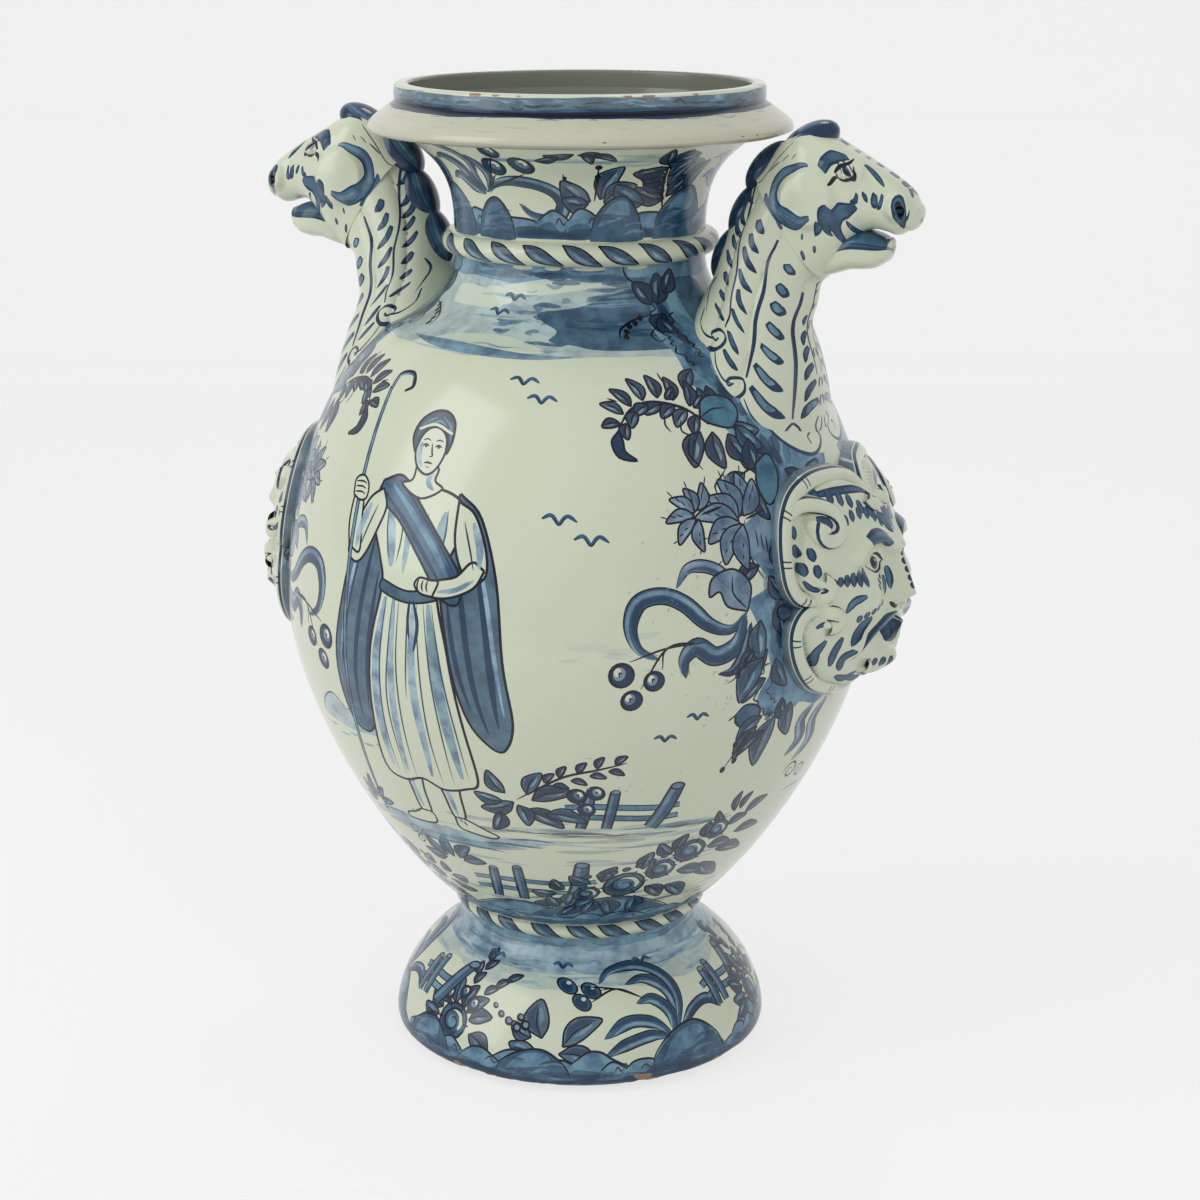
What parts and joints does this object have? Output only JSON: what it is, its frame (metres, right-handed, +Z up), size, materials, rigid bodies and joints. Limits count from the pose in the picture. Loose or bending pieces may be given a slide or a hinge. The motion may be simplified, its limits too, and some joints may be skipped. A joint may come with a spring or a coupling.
{
  "type": "two-handled jar",
  "caption": "Footed ovoid glazed jar with a wide overhanging lip and two horse-head handles on its shoulder, each above a scroll-framed mask; stands free, open at the top.",
  "frame": {"origin": "centre of the foot's resting ring", "axes": "+Z up along the jar's axis, the two handles on +X and -X"},
  "size_m": [0.3928, 0.329, 0.54],
  "materials": {
    "painted_glaze": "glossy greenish-white tin glaze painted in blue washes and dark blue lines",
    "plain_glaze": "glossy cream to pinkish tin glaze, unpainted, thin at the edge",
    "handle_glaze": "glossy cream-white tin glaze with blue dashes and lines along the modelling",
    "blue_glaze": "glossy blue wash over tin glaze, darker in the hollows"
  },
  "bodies": {
    "root": {"foot": "painted_glaze", "foot_cordon": "painted_glaze", "lower_belly": "painted_glaze", "upper_belly": "painted_glaze", "shoulder": "painted_glaze", "neck_cordon": "painted_glaze", "mouth": "painted_glaze", "lip_flange": "plain_glaze", "rim_collar": "painted_glaze", "right_handle_neck": "handle_glaze", "right_horse_head": "handle_glaze", "right_lower_jaw": "handle_glaze", "right_mane": "blue_glaze", "right_mask_face": "handle_glaze", "right_mask_frame": "handle_glaze", "left_handle_neck": "handle_glaze", "left_horse_head": "handle_glaze", "left_lower_jaw": "handle_glaze", "left_mane": "blue_glaze", "left_mask_face": "handle_glaze", "left_mask_frame": "handle_glaze"}
  },
  "joints": []
}
